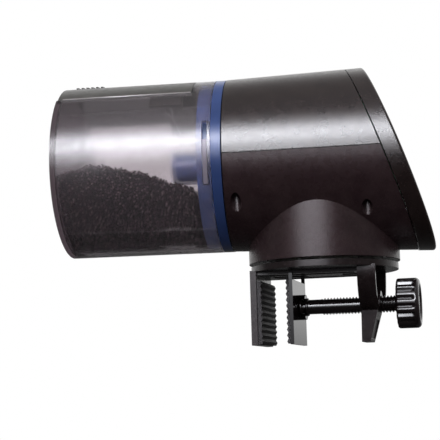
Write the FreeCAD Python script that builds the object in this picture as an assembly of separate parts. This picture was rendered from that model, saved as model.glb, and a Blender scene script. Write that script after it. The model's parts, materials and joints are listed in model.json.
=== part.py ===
import FreeCAD, Part
import math
import os

# Automatic pet feeder with a rim clamp. Millimetres. The origin is the middle of the clamp's rim seat, on the
# swivel axis. +X runs along the drum axis towards the control panel, +Z is up and -Y is the front.

V = FreeCAD.Vector
FAR = 90.0                     # reach of a cutting block, beyond every surface
RUN = 0.05                     # radial clearance of a shaft in its bearing

# Food drum and its sliding hatch
AXIS_Z = 46.0                  # drum axis above the rim seat
DRUM_R = 35.0
DRUM_WALL = 1.8
DRUM_LEFT = -103.2
DRUM_MOUTH = -40.3
CAP_T = 2.0
HATCH_LEFT = -102.7
HATCH_RIGHT = -48.6
HATCH_HALF = 42.0              # degrees from the top to each edge of the hatch, at the drum's surface
HATCH_T = 0.95
HATCH_SLACK = 0.1
HATCH_END_GAP = 0.25
GRIP_X = -99.0                 # first grip ridge
GRIP_COUNT = 6
GRIP_PITCH = 2.05
GRIP_W = 0.75
GRIP_H = 0.6
GRIP_HALF = 12.0
PORT_X = (-63.5, -53.5)
PORT_HALF = 36.0
FRAME_RIM = 1.5                # port frame beyond the port's ends
FRAME_HALF = 52.0
FRAME_T = 1.15

# Lid, with its bayonet lugs and hub socket
LID_FACE = -36.2
FLANGE_T = 3.8
SLEEVE_R = 33.0
SLEEVE_T = 1.8
SLEEVE_LEFT = -45.9
WEB_T = 1.6
BOSS_R = 6.75
BOSS_LEFT = -59.7
SOCKET_LEFT = -53.5
SOCKET_BOSS_R = 7.6
SOCKET_BOSS_RIGHT = -38.0
HEX_FLATS = 7.0
SLOT_X = (-43.4, -41.5)
SLOT_HALF = 21.0
LUG_ARC = 29.0
LUG_END_GAP = 0.5
LUG_R = 34.2
TWIST = 12.0                   # degrees of bayonet turn

# Housing
BODY_LEFT = -35.8
BODY_R = 35.1                  # radius at BODY_LEFT
BODY_FLARE = 0.0311            # growth of the radius along X
WALL = 2.0
LOWER_INSET = 0.25             # the lower shell stands this much inside the upper one
SEAM_Z = AXIS_Z - 0.8
SEAM_GAP = 0.05
FOOT_R = 30.05
FOOT_Z = 4.83
SCREW_SPOTS = ((-31.5, 29.0), (-31.5, -29.0), (18.2, 28.0), (18.2, -28.0))
SCREW_SEAT = AXIS_Z - 12.0
SCREW_BORE_R = 2.15
SCREW_BOSS_R = 3.3
SCREW_SHANK_R = 1.15
SCREW_TOP = AXIS_Z + 3.5
BUSH_R = 6.5

# Control panel, in its own frame: x down the panel, y to +Y, z out of it, origin on the drum axis
PANEL_X = 31.13
PANEL_LEAN = 19.8
PANEL_T = 6.46
PANEL_GAP = 0.4
FACE_T = 2.2
FACE_ROUND = 1.0
LCD_X = -9.0                   # middle of the display, up the panel
LENS = (19.0, 34.0, 1.2)
WINDOW = (15.0, 30.0)
MODULE_SIZE = (22.0, 36.0)
BUTTON_X = 14.0
BUTTON_PITCH = 11.5
BUTTON_R = 3.55
BUTTON_PROUD = 0.6
BUTTON_NAMES = ("button_clock", "button_interval", "button_portion", "button_feed")
BOARD = (52.0, 44.0, 1.2)
BOARD_Z = -6.2
BOARD_POSTS = (23.0, 19.0)
BOARD_POST_R = 2.4
BOARD_SCREW_R = 0.9

# Batteries and their door, on the far side of the upper shell
DOOR_ANGLE = 40.0              # degrees above +Y
DOOR_X = (-30.0, 11.0)
DOOR_HALF = 12.5
CELL_R = 5.25
CELL_X = (-31.35, 13.15)        # the cell whose button end faces the panel
CELL_Y = 5.75
CELL_SHIFT = 0.7               # the other cell lies this much further from the panel
NUB = 0.8
CELL_Z = 24.0
TRAY_X = (-33.5, 14.6)
TRAY_HALF = 12.0
TRAY_Z = (17.5, 24.8)

# Gear train
MODULE = 0.5
PRESSURE = math.radians(25.0)
BACKLASH = 0.12
WHEEL_TEETH = 48
PINION_TEETH = 12
CENTRES = MODULE * (WHEEL_TEETH + PINION_TEETH) / 2
COMPOUND_ANGLE = -110.0        # direction of the compound gear from the drum axis, degrees from +Y
MOTOR_ANGLE = 0.0              # direction of the motor from the compound gear
OUTPUT_X = (-32.5, -30.0)
COMPOUND_X = (-28.3, -26.0)
GEARBOX_X = (-24.5, -22.5)
GEARBOX_POST_R = 2.2
GEARBOX_POSTS = ((-19, 4), (17, -2), (10, -27))    # Y, and Z from the drum axis
HUB_R = 5.0
HUB_TIP = -52.5
PIN_R = 1.0
MOTOR_LENGTH = 25.0
MOTOR_R = 10.0
MOTOR_FLAT = 7.5               # from the motor's axis to each of its flat sides
SWITCH_X = (-32.8, -29.8)
SWITCH_Y = (-24.0, -16.4)
SWITCH_Z = (AXIS_Z + 9.0, AXIS_Z + 15.0)
LEVER_TIP_Y = -10.6

# Clamp
DISC_R = 29.3
DISC_Z = (1.3, 3.7)
SPIGOT_R = 12.0
SPIGOT_TOP = 7.1
SWIVEL_SCREW_R = 1.5
RETAINER_R = 16.0
RETAINER_T = 1.2
WASHER_R = 20.0
CLAMP_YAW = -6.0               # the whole clamp stands turned this much about the swivel axis
BLOCK_HALF = 13.4
BLOCK_X = (-27.5, 17.0)
JAW_X = (-27.5, -25.0)
JAW_HALF = 15.0
JAW_BOTTOM = -27.4
PAD_T = 2.0
PAD_TOP = -2.2
RIB_Y = (-12.3, -4.4, 4.4, 12.3)
RIB_T = 2.2
POCKET_TOP = 2.3
ARM_BOTTOM = -27.2
ARM_SIDE = (
    (15.3, 1.8), (22.3, 1.8), (22.1, -12.5), (20.6, -17.5), (17.9, ARM_BOTTOM), (14.6, ARM_BOTTOM), (15.3, -2.4),
)
ARM_WIDE = 20.6
ARM_WEB_X = 17.7               # the arm's two ribs stand out from its web, from here on
ARM_RIB_T = 2.0
ARM_BOSS_R = 5.2
TONGUE_POCKET = 0.5
CLAMP_Z = -12.5                # clamp screw axis
PITCH = 1.25
THREAD_R = 3.3
CORE_R = 2.75
THREAD_X = (-2.0, 27.9)
FLAT_END_X = 15.5              # the screw's two flats end at the arm
ARM_BORE_R = THREAD_R + 2 * RUN
PLATE_X = (-12.1, -10.7)
PLATE_HALF = 14.9
PLATE_TOP = -2.1               # a rim can lie flat on the seat over the plate
EAR_Y = 13.7                   # the plate's ears reach up beside the block and keep it from turning
EAR_TOP = 0.6
PLATE_BOTTOM = -27.4
PLATE_PAD_T = 1.4
TOOTH_PITCH = 2.2
TOOTH_H = 0.55
SOCKET_X = (-10.7, -7.95)
KNOB_X = (28.3, 37.3)
KNOB_R = 9.85
KNOB_FLUTES = 18


# ---------------------------------------------------------------- shapes

def box(x0, x1, y0, y1, z0, z1):
    return Part.makeBox(x1 - x0, y1 - y0, z1 - z0, V(x0, y0, z0))


def rod(radius, x0, x1, y=0.0, z=AXIS_Z):
    """Round bar along X, on the drum axis unless told otherwise."""
    return Part.makeCylinder(radius, x1 - x0, V(x0, y, z), V(1, 0, 0))


def ring(outer, inner, x0, x1):
    """Tube along the drum axis."""
    return rod(outer, x0, x1).cut(rod(inner, x0 - 1, x1 + 1))


def post(radius, z0, z1, x=0.0, y=0.0):
    """Round bar along Z."""
    return Part.makeCylinder(radius, z1 - z0, V(x, y, z0))


def prism(points, direction):
    return Part.Face(Part.makePolygon(points + [points[0]])).extrude(direction)


def polar(radius, angle, x):
    """Point about the drum axis; the angle runs from the top towards the front."""
    a = math.radians(angle)
    return V(x, -radius * math.sin(a), AXIS_Z + radius * math.cos(a))


def wedge(angle0, angle1, x0, x1):
    """Sector about the drum axis, from angle0 to angle1, out beyond every surface."""
    steps = 4
    rim = [polar(FAR, angle0 + (angle1 - angle0) * i / steps, x0) for i in range(steps + 1)]
    return prism([V(x0, 0, AXIS_Z)] + rim, V(x1 - x0, 0, 0))


def turned(profile, z):
    """Solid turned about a line along X, from (x, radius) points that start and end on the line."""
    points = [V(x, 0, z + r) for x, r in profile]
    face = Part.Face(Part.makePolygon(points + [points[0]]))
    return face.revolve(V(0, 0, z), V(1, 0, 0), 360)


def hexagon(flats, x0, x1):
    """Six-sided bar on the drum axis."""
    corner = flats / math.sqrt(3)
    return prism([polar(corner, 60 * i, x0) for i in range(6)], V(x1 - x0, 0, 0))


def fuse(shapes):
    whole = shapes[0].multiFuse(shapes[1:])
    return whole.removeSplitter()


def save(name, shape):
    if name in CLAMP_PIECES:
        shape.rotate(V(0, 0, 0), V(0, 0, 1), CLAMP_YAW)
    shape.exportStep("parts/" + name + ".step")
    print(name, shape.isValid(), len(shape.Solids), round(shape.Volume, 1))


# ---------------------------------------------------------------- food drum

def hatch_space(slack, x0, x1):
    """Dovetail across the top of the drum: wider below than at the surface."""
    lean = 1.4
    low = (DRUM_R - 2, HATCH_HALF + 2 * lean)
    high = (DRUM_R + 1, HATCH_HALF - lean)
    outline = []
    for side in (-1, 1):
        points = [(low[0], low[1]), (high[0], high[1]), (FAR, high[1] - lean)]
        flank = [polar(r, side * a, x0) + V(0, -side * slack, 0) for r, a in points]
        outline += flank if side < 0 else flank[::-1]
    return prism(outline, V(x1 - x0, 0, 0))


def make_drum_shell():
    inner = DRUM_R - DRUM_WALL
    shell = ring(DRUM_R, inner, DRUM_LEFT + CAP_T, DRUM_MOUTH)
    floor = DRUM_R - HATCH_T - HATCH_SLACK
    recess = hatch_space(HATCH_SLACK, DRUM_LEFT - 1, HATCH_RIGHT + HATCH_END_GAP)
    shell = shell.cut(recess.cut(rod(floor, DRUM_LEFT - 2, 0)))
    shell = shell.cut(wedge(-PORT_HALF, PORT_HALF, *PORT_X))
    groove_r = LUG_R + 0.1
    for middle in (90, 270):
        slot = wedge(middle - SLOT_HALF, middle + SLOT_HALF, *SLOT_X)
        shell = shell.cut(slot)
        entry = wedge(middle - SLOT_HALF, middle + SLOT_HALF - TWIST, SLOT_X[1] - 0.5, DRUM_MOUTH + 1)
        shell = shell.cut(entry.common(rod(groove_r, SLOT_X[0], 0)))
    return shell


def make_drum_end_cap():
    cap = rod(DRUM_R, DRUM_LEFT, DRUM_LEFT + CAP_T)
    recess = hatch_space(HATCH_SLACK, DRUM_LEFT - 1, DRUM_LEFT + CAP_T + 1)
    cap = cap.cut(recess.cut(rod(DRUM_R - HATCH_T - HATCH_SLACK, DRUM_LEFT - 2, 0)))
    return cap


def make_port_frame():
    outer = DRUM_R - DRUM_WALL - RUN
    x0, x1 = PORT_X
    frame = ring(outer, outer - FRAME_T, x0 - FRAME_RIM, x1 + FRAME_RIM)
    frame = frame.common(wedge(-FRAME_HALF, FRAME_HALF, x0 - FRAME_RIM, x1 + FRAME_RIM))
    return frame.cut(wedge(-PORT_HALF, PORT_HALF, x0, x1))


def make_hatch():
    plate = ring(DRUM_R, DRUM_R - HATCH_T, HATCH_LEFT, HATCH_RIGHT)
    plate = plate.common(hatch_space(0.0, HATCH_LEFT, HATCH_RIGHT))
    ridges = []
    for i in range(GRIP_COUNT):
        x0 = GRIP_X + i * GRIP_PITCH
        rib = ring(DRUM_R + GRIP_H, DRUM_R - HATCH_T / 2, x0, x0 + GRIP_W)
        ridges.append(rib.common(wedge(-GRIP_HALF, GRIP_HALF, x0, x0 + GRIP_W)))
    return fuse([plate] + ridges)


def make_food():
    """Loose pellets, heaped towards the closed end, clear of the turning drum."""
    x0 = DRUM_LEFT + CAP_T + 0.3
    x1 = SLEEVE_LEFT - 1.6
    top = [(x0, -6.0), (-96.0, -4.0), (-88.0, -2.2), (-75.0, -4.3), (-66.0, -6.8), (x1, -13.0)]
    outline = [V(x, -FAR, AXIS_Z + z) for x, z in top]
    outline += [V(x1, -FAR, 0), V(x0, -FAR, 0)]
    radius = DRUM_R - DRUM_WALL - 1.5
    return prism(outline, V(0, 2 * FAR, 0)).common(rod(radius, x0, x1))


def make_drum_lid():
    flange_left = LID_FACE - FLANGE_T
    pieces = [ring(DRUM_R, SLEEVE_R - SLEEVE_T, flange_left, LID_FACE)]
    pieces.append(ring(SLEEVE_R, SLEEVE_R - SLEEVE_T, SLEEVE_LEFT, LID_FACE))
    pieces.append(rod(SLEEVE_R, SLEEVE_LEFT, SLEEVE_LEFT + WEB_T))
    pieces.append(rod(BOSS_R, BOSS_LEFT, SLEEVE_LEFT + WEB_T))
    pieces.append(rod(SOCKET_BOSS_R, SLEEVE_LEFT, SOCKET_BOSS_RIGHT))
    for i in range(6):
        rib = box(SLEEVE_LEFT, -41.0, -0.7, 0.7, AXIS_Z + BOSS_R, AXIS_Z + SLEEVE_R - 0.5)
        rib.rotate(V(0, 0, AXIS_Z), V(1, 0, 0), 30 + 60 * i)
        pieces.append(rib)
    for middle in (90, 270):
        end = middle + SLOT_HALF - LUG_END_GAP
        lug = ring(LUG_R, SLEEVE_R - 0.5, SLOT_X[0] + 0.1, SLOT_X[1] - 0.1)
        pieces.append(lug.common(wedge(end - LUG_ARC, end, *SLOT_X)))
    lid = fuse(pieces)
    return lid.cut(hexagon(HEX_FLATS + 4 * RUN, SOCKET_LEFT, 0))


# ---------------------------------------------------------------- gears

def gear(teeth, x0, x1, y, z, facing):
    """Spur gear on an axis along X, with one tooth pointing in the direction facing (degrees from +Y)."""
    pitch_r = MODULE * teeth / 2
    base_r = pitch_r * math.cos(PRESSURE)
    tip_r = pitch_r + 0.9 * MODULE
    root_r = pitch_r - 1.2 * MODULE
    start_r = max(root_r, base_r)
    half_pitch = (math.pi * MODULE / 2 - BACKLASH) / 2 / pitch_r
    flank = []
    steps = 5
    for i in range(steps + 1):
        r = start_r + (tip_r - start_r) * i / steps
        roll = math.acos(min(1.0, base_r / r))
        half = half_pitch + math.tan(PRESSURE) - PRESSURE - (math.tan(roll) - roll)
        flank.append((r, half))
    if root_r < start_r:
        flank.insert(0, (root_r, flank[0][1]))
    outline = []
    for i in range(teeth):
        middle = math.radians(facing) + 2 * math.pi * i / teeth
        for r, half in flank:
            outline.append(V(x0, y + r * math.cos(middle - half), z + r * math.sin(middle - half)))
        for r, half in flank[::-1]:
            outline.append(V(x0, y + r * math.cos(middle + half), z + r * math.sin(middle + half)))
    return prism(outline, V(x1 - x0, 0, 0))


def step_from(y, z, angle, distance):
    a = math.radians(angle)
    return y + distance * math.cos(a), z + distance * math.sin(a)


COMPOUND_AT = step_from(0.0, AXIS_Z, COMPOUND_ANGLE, CENTRES)
MOTOR_AT = step_from(*COMPOUND_AT, MOTOR_ANGLE, CENTRES)
HALF_TOOTH = 180.0 / PINION_TEETH


def make_output_gear():
    wheel = gear(WHEEL_TEETH, *OUTPUT_X, 0.0, AXIS_Z, COMPOUND_ANGLE)
    return wheel.cut(rod(HUB_R + RUN / 2, -FAR, 0))


def make_output_hub():
    journal = rod(HUB_R, BODY_LEFT - 0.6, OUTPUT_X[1] + 0.05)
    head = rod(HUB_R + 1.2, OUTPUT_X[1] + 0.05, OUTPUT_X[1] + 0.95)
    return fuse([journal, head, hexagon(HEX_FLATS, HUB_TIP, BODY_LEFT)])


def make_hub_bush():
    flange_x = BODY_LEFT + WALL + RUN
    sleeve = rod(BUSH_R, BODY_LEFT, flange_x)
    flange = rod(BUSH_R + 1.2, flange_x, flange_x + 1.0)
    return fuse([sleeve, flange]).cut(rod(HUB_R + RUN, -FAR, 0))


def make_compound_gear():
    y, z = COMPOUND_AT
    wheel = gear(WHEEL_TEETH, *COMPOUND_X, y, z, MOTOR_ANGLE)
    pinion = gear(PINION_TEETH, OUTPUT_X[0] - 0.1, COMPOUND_X[0], y, z, COMPOUND_ANGLE + 180 + HALF_TOOTH)
    bore = rod(PIN_R + RUN, -FAR, 0, y, z)
    return fuse([wheel, pinion]).cut(bore)


def make_gear_pin():
    return rod(PIN_R, BODY_LEFT + WALL + 0.1, GEARBOX_X[1], *COMPOUND_AT)


def make_motor_pinion():
    y, z = MOTOR_AT
    x0, x1 = COMPOUND_X
    pinion = gear(PINION_TEETH, x0 - 0.5, x1 + 0.5, y, z, MOTOR_ANGLE + 180 + HALF_TOOTH)
    return fuse([pinion, rod(PIN_R, x1, GEARBOX_X[1] + 3.0, y, z)])


def make_gearbox_plate():
    x0, x1 = GEARBOX_X
    plate = rod(31.0, x0, x1).common(box(x0, x1, -22, 20, AXIS_Z - 31, AXIS_Z + 9))
    corner = [V(x0, 6, AXIS_Z + 20), V(x0, 24, AXIS_Z - 1.5), V(x0, 40, AXIS_Z + 20)]
    plate = plate.cut(prism(corner, V(x1 - x0, 0, 0)))
    left = BODY_LEFT + WALL + RUN
    posts = [rod(GEARBOX_POST_R, left, x0, y, AXIS_Z + z) for y, z in GEARBOX_POSTS]
    plate = fuse([plate] + posts)
    plate = plate.cut(rod(PIN_R + RUN / 2, -FAR, 0, *COMPOUND_AT))
    return plate.cut(rod(2.6, -FAR, 0, *MOTOR_AT))


def make_motor():
    y, z = MOTOR_AT
    x0 = GEARBOX_X[1] + RUN
    x1 = x0 + MOTOR_LENGTH
    flats = box(x0, x1, y - MOTOR_R, y + MOTOR_R, z - MOTOR_FLAT, z + MOTOR_FLAT)
    can = rod(MOTOR_R, x0, x1, y, z).common(flats)
    tail = rod(3.0, x1, x1 + 1.6, y, z)
    terminals = [box(x1, x1 + 2.6, y + s * 7 - 0.9, y + s * 7 + 0.9, z - 0.2, z + 0.2) for s in (-1, 1)]
    bore = rod(PIN_R + RUN, x0 - 1, x0 + 4.0, y, z)
    return fuse([can, tail] + terminals).cut(bore)


def make_revolution_switch():
    case = box(*SWITCH_X, *SWITCH_Y, *SWITCH_Z)
    low = SWITCH_Z[0] + 0.6
    lever = box(SWITCH_X[0] + 1, SWITCH_X[1] - 1, SWITCH_Y[1] - 0.6, LEVER_TIP_Y, low, low + 0.4)
    return fuse([case, lever])


# ---------------------------------------------------------------- housing

def cone(inset, x0, x1):
    """The housing's slightly flared body, reduced by inset."""
    r0 = BODY_R + BODY_FLARE * (x0 - BODY_LEFT) - inset
    r1 = BODY_R + BODY_FLARE * (x1 - BODY_LEFT) - inset
    return Part.makeCone(r0, r1, x1 - x0, V(x0, 0, AXIS_Z), V(1, 0, 0))


def on_panel(shape):
    """Carries a shape from the panel's own frame into place."""
    turn = FreeCAD.Rotation(V(0, 1, 0), 90 - PANEL_LEAN)
    shape.Placement = FreeCAD.Placement(V(PANEL_X, 0, AXIS_Z), turn).multiply(shape.Placement)
    return shape


def panel_box(x, y, z0, z1, cx=0.0, cy=0.0):
    return on_panel(box(cx - x / 2, cx + x / 2, cy - y / 2, cy + y / 2, z0, z1))


def panel_post(radius, z0, z1, x, y):
    return on_panel(post(radius, z0, z1, x, y))


def on_side(shape):
    """Carries a shape whose z points out through the battery door into place."""
    turn = FreeCAD.Rotation(V(1, 0, 0), DOOR_ANGLE - 90)
    shape.Placement = FreeCAD.Placement(V(0, 0, AXIS_Z), turn).multiply(shape.Placement)
    return shape


def side_box(half, x0, x1, z0, z1):
    return on_side(box(x0, x1, -half, half, z0, z1))


def side_rod(radius, x0, x1, y, z):
    return on_side(rod(radius, x0, x1, y, z))


def beyond_panel(gap):
    return panel_box(2 * FAR, 2 * FAR, -PANEL_T - gap, FAR)


def make_upper_housing():
    outer = cone(0.0, BODY_LEFT, FAR)
    shell = outer.cut(cone(WALL, BODY_LEFT + WALL, FAR + 1))
    x0, x1 = DOOR_X
    ledge = cone(WALL, x0 - 1.5, x1 + 1.0).cut(cone(WALL + 1.1, x0 - 1.5, x1 + 1.0))
    ledge = ledge.common(side_box(DOOR_HALF + 1.2, x0 - 1.2, x1 + 0.8, 10, FAR))
    pieces = [shell, ledge]
    for x, y in SCREW_SPOTS:
        pieces.append(post(SCREW_BOSS_R, SEAM_Z, AXIS_Z + 5, x, y).common(outer))
        y0, y1 = sorted((y, y * 2))
        pieces.append(box(x - 0.8, x + 0.8, y0, y1, SEAM_Z, AXIS_Z + 4).common(outer))
    shell = fuse(pieces)
    shell = shell.cut(side_box(DOOR_HALF, x0, x1, DRUM_R - WALL - 4, FAR).cut(cone(WALL, x0 - 1, x1 + 1)))
    shell = shell.cut(side_box(DOOR_HALF - 1.2, x0 + 1.2, x1 - 1.2, 10, FAR))
    shell = shell.cut(box(-FAR, FAR, -FAR, FAR, -FAR, SEAM_Z + SEAM_GAP))
    shell = shell.cut(beyond_panel(PANEL_GAP))
    for x, y in SCREW_SPOTS:
        shell = shell.cut(post(SCREW_SHANK_R + RUN, 0, SCREW_TOP + 0.5, x, y))
    return shell.cut(rod(BUSH_R + RUN / 2, -FAR, BODY_LEFT + WALL + 1))


def make_battery_door():
    slack = 0.15
    x0, x1 = DOOR_X
    skin = cone(0.0, x0 - 1, x1 + 1).cut(cone(WALL - slack, x0 - 2, x1 + 2))
    return skin.common(side_box(DOOR_HALF - slack, x0 + slack, x1 - slack, 10, FAR))


def make_lower_housing():
    outer = cone(LOWER_INSET, BODY_LEFT, FAR)
    foot = post(FOOT_R, FOOT_Z, SEAM_Z)
    cavity = cone(LOWER_INSET + WALL, BODY_LEFT + WALL, FAR + 1)
    well = post(FOOT_R - WALL, FOOT_Z + WALL, AXIS_Z)
    shell = outer.fuse(foot).cut(cavity).cut(well)
    bosses = [post(SCREW_BOSS_R, 0, SEAM_Z, x, y).common(outer) for x, y in SCREW_SPOTS]
    shell = fuse([shell] + bosses)
    shell = shell.cut(box(-FAR, FAR, -FAR, FAR, SEAM_Z - SEAM_GAP, 2 * FAR))
    shell = shell.cut(beyond_panel(PANEL_GAP))
    for x, y in SCREW_SPOTS:
        shell = shell.cut(post(SCREW_BORE_R, 0, SCREW_SEAT, x, y))
        shell = shell.cut(post(SCREW_SHANK_R + RUN, 0, FAR, x, y))
    shell = shell.cut(rod(BUSH_R + RUN / 2, -FAR, BODY_LEFT + WALL + 1))
    return shell.cut(post(SPIGOT_R + 2 * RUN, 0, FOOT_Z + WALL + 1))


def make_housing_screws():
    screws = []
    for x, y in SCREW_SPOTS:
        head = post(SCREW_BORE_R - 0.15, SCREW_SEAT - 1.8, SCREW_SEAT, x, y)
        cross = box(x - 1.2, x + 1.2, y - 0.3, y + 0.3, SCREW_SEAT - 2, SCREW_SEAT - 1)
        head = head.cut(cross)
        screws.append(fuse([head, post(SCREW_SHANK_R, SCREW_SEAT, SCREW_TOP, x, y)]))
    return Part.makeCompound(screws)


# ---------------------------------------------------------------- control panel

def button_spots():
    return [(BUTTON_X, BUTTON_PITCH * (i - 1.5)) for i in range(4)]


def post_spots():
    x, y = BOARD_POSTS
    return [(sx * x, sy * y) for sx in (-1, 1) for sy in (-1, 1)]


def make_bezel():
    slab = cone(0.0, BODY_LEFT, FAR).common(panel_box(2 * FAR, 2 * FAR, -PANEL_T, 0))
    rim = max(slab.Edges, key=lambda e: e.CenterOfMass.x if e.Length > DRUM_R else -FAR)
    slab = slab.makeFillet(FACE_ROUND, [rim])
    pocket = cone(WALL, BODY_LEFT, FAR).common(panel_box(2 * FAR, 2 * FAR, -PANEL_T - 1, -FACE_T))
    bezel = slab.cut(pocket)
    posts = [panel_post(BOARD_POST_R, BOARD_Z + BOARD[2], -1.0, x, y) for x, y in post_spots()]
    bezel = fuse([bezel] + posts)
    for x, y in post_spots():
        bezel = bezel.cut(panel_post(BOARD_SCREW_R + RUN, BOARD_Z, -1.6, x, y))
    bezel = bezel.cut(panel_box(LENS[0], LENS[1], -LENS[2], 1, LCD_X))
    bezel = bezel.cut(panel_box(WINDOW[0], WINDOW[1], -FAR / 2, 1, LCD_X))
    for x, y in button_spots():
        bezel = bezel.cut(panel_post(BUTTON_R + 0.15, -FAR / 2, 1, x, y))
    return bezel


def make_lcd_lens():
    return panel_box(LENS[0] - 0.2, LENS[1] - 0.2, 0.05 - LENS[2], -0.05, LCD_X)


def make_lcd_module():
    return panel_box(*MODULE_SIZE, BOARD_Z + BOARD[2] + RUN, -FACE_T - RUN, LCD_X)


def make_circuit_board():
    board = panel_box(BOARD[0], BOARD[1], BOARD_Z, BOARD_Z + BOARD[2])
    for x, y in post_spots():
        board = board.cut(panel_post(BOARD_SCREW_R + 0.1, BOARD_Z - 1, 0, x, y))
    return board


def make_board_screws():
    screws = []
    for x, y in post_spots():
        head = panel_post(2 * BOARD_SCREW_R, BOARD_Z - 0.9, BOARD_Z, x, y)
        screws.append(fuse([head, panel_post(BOARD_SCREW_R, BOARD_Z, -2.0, x, y)]))
    return Part.makeCompound(screws)


def make_tact_switches():
    base = BOARD_Z + BOARD[2]
    switches = []
    for x, y in button_spots():
        case = panel_box(4.5, 4.5, base, base + 1.3, x, y)
        switches.append(fuse([case, panel_post(1.1, base, base + 1.65, x, y)]))
    return Part.makeCompound(switches)


def make_button(x, y):
    cap = panel_post(BUTTON_R, -FACE_T - 0.55, BUTTON_PROUD, x, y)
    edge = max(cap.Edges, key=lambda e: e.CenterOfMass.x if e.Length > 2 * BUTTON_R * 3 else -FAR)
    cap = cap.makeFillet(0.4, [edge])
    collar = panel_post(BUTTON_R + 0.85, -FACE_T - 0.55, -FACE_T - 0.1, x, y)
    return fuse([cap, collar])


# ---------------------------------------------------------------- batteries

def make_batteries():
    x0, x1 = CELL_X
    down = fuse([side_rod(CELL_R, x0, x1 - NUB, CELL_Y, CELL_Z), side_rod(1.9, x1 - NUB, x1, CELL_Y, CELL_Z)])
    x0, x1 = x0 - CELL_SHIFT, x1 - CELL_SHIFT
    up = fuse([side_rod(CELL_R, x0 + NUB, x1, -CELL_Y, CELL_Z), side_rod(1.9, x0, x0 + NUB, -CELL_Y, CELL_Z)])
    return Part.makeCompound([down, up])


def make_battery_tray():
    x0, x1 = TRAY_X
    tray = side_box(TRAY_HALF, x0, x1, *TRAY_Z)
    for y in (-CELL_Y, CELL_Y):
        tray = tray.cut(side_rod(CELL_R + 0.15, x0 + 1.0, x1 - 1.0, y, CELL_Z))
        tray = tray.cut(on_side(box(x0 + 1.0, x1 - 1.0, y - CELL_R, y + CELL_R, CELL_Z, FAR)))
    return tray


def make_battery_contacts():
    """A flat square tab at each end of each cell."""
    half = 3.6
    tabs = []
    for y in (-CELL_Y, CELL_Y):
        for x0 in (TRAY_X[0] + 1.05, TRAY_X[1] - 1.35):
            tabs.append(on_side(box(x0, x0 + 0.3, y - half, y + half, CELL_Z - half, CELL_Z + half)))
    return Part.makeCompound(tabs)


def make_battery_springs():
    """The coil at each cell's flat end, as a hollow cone."""
    springs = []
    left, right = TRAY_X[0] + 1.4, TRAY_X[1] - 1.4
    for y, x, side in ((CELL_Y, left, 1), (-CELL_Y, right, -1)):
        base = V(x, y, CELL_Z)
        coil = Part.makeCone(3.3, 2.3, 0.65, base, V(side, 0, 0))
        coil = coil.cut(Part.makeCone(2.6, 1.6, 0.65, base, V(side, 0, 0)))
        springs.append(on_side(coil))
    return Part.makeCompound(springs)


# ---------------------------------------------------------------- clamp

def make_clamp_frame():
    pieces = [post(DISC_R, *DISC_Z), post(SPIGOT_R, DISC_Z[0], SPIGOT_TOP)]
    pieces.append(box(*BLOCK_X, -BLOCK_HALF, BLOCK_HALF, 0, DISC_Z[0] + 0.5))
    jaw = box(*JAW_X, -JAW_HALF, JAW_HALF, JAW_BOTTOM, DISC_Z[0] + 0.5)
    pieces.append(jaw)
    arm = prism([V(x, -FAR, z) for x, z in ARM_SIDE], V(0, 2 * FAR, 0))
    channel = arm_front(ARM_RIB_T).common(box(ARM_WEB_X, FAR, -FAR, FAR, -15.8, DISC_Z[0]))
    boss = rod(ARM_BOSS_R, BLOCK_X[1], ARM_SIDE[2][0], 0, CLAMP_Z).common(arm)
    pieces.append(arm.common(arm_front(0.0)).cut(channel).fuse(boss))
    frame = fuse(pieces)
    for low, high in zip(RIB_Y[:-1], RIB_Y[1:]):
        pocket = box(JAW_X[1] + 4, 13.0, low + RIB_T / 2, high - RIB_T / 2, -1, POCKET_TOP)
        if low < 0 < high:
            pocket = pocket.cut(box(-7, 7, -FAR, FAR, -FAR, FAR))
        frame = frame.cut(pocket)
    top, bottom = -18.6, ARM_BOTTOM + 1.3
    back = [(FAR, top), (20.25 - TONGUE_POCKET, top), (18.3 - TONGUE_POCKET, bottom), (FAR, bottom)]
    tongue = prism([V(x, -6.6, z) for x, z in back], V(0, 13.2, 0))
    frame = frame.cut(tongue)
    frame = frame.cut(rod(ARM_BORE_R, 5, 30, 0, CLAMP_Z))
    return frame.cut(post(SWIVEL_SCREW_R + RUN, 1.6, FAR))


def arm_front(inset):
    """The arm seen along X: full width under the disc, drawn in by an arc to a narrow tongue."""
    wide, narrow, tip = ARM_WIDE - inset, 8.4 - inset, 7.5 - inset
    edges = []
    for s in (-1, 1):
        corner = V(-FAR, s * wide, DISC_Z[0])
        waist = V(-FAR, s * narrow, -15.0)
        edges.append(Part.LineSegment(V(-FAR, s * wide, 3.0), corner).toShape())
        edges.append(Part.Arc(corner, V(-FAR, s * (18.0 - inset), -8.0), waist).toShape())
        edges.append(Part.LineSegment(waist, V(-FAR, s * tip, ARM_BOTTOM)).toShape())
    edges.append(Part.LineSegment(V(-FAR, -wide, 3.0), V(-FAR, wide, 3.0)).toShape())
    edges.append(Part.LineSegment(V(-FAR, -tip, ARM_BOTTOM), V(-FAR, tip, ARM_BOTTOM)).toShape())
    wire = Part.Wire(Part.__sortEdges__(edges))
    return Part.Face(wire).extrude(V(2 * FAR, 0, 0))


def make_swivel_washer():
    low, high = DISC_Z[1] + 0.02, FOOT_Z - 0.06
    return post(WASHER_R, low, high).cut(post(SPIGOT_R + 0.2, 0, FAR))


def make_swivel_retainer():
    low = SPIGOT_TOP + 0.02
    return post(RETAINER_R, low, low + RETAINER_T).cut(post(SWIVEL_SCREW_R + 0.2, 0, FAR))


def make_swivel_screw():
    low = SPIGOT_TOP + RETAINER_T + 0.04
    head = post(3.0, low, low + 1.9)
    head = head.cut(box(-2, 2, -0.35, 0.35, low + 1.0, FAR)).cut(box(-0.35, 0.35, -2, 2, low + 1.0, FAR))
    return fuse([head, post(SWIVEL_SCREW_R, 2.0, low)])


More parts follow.
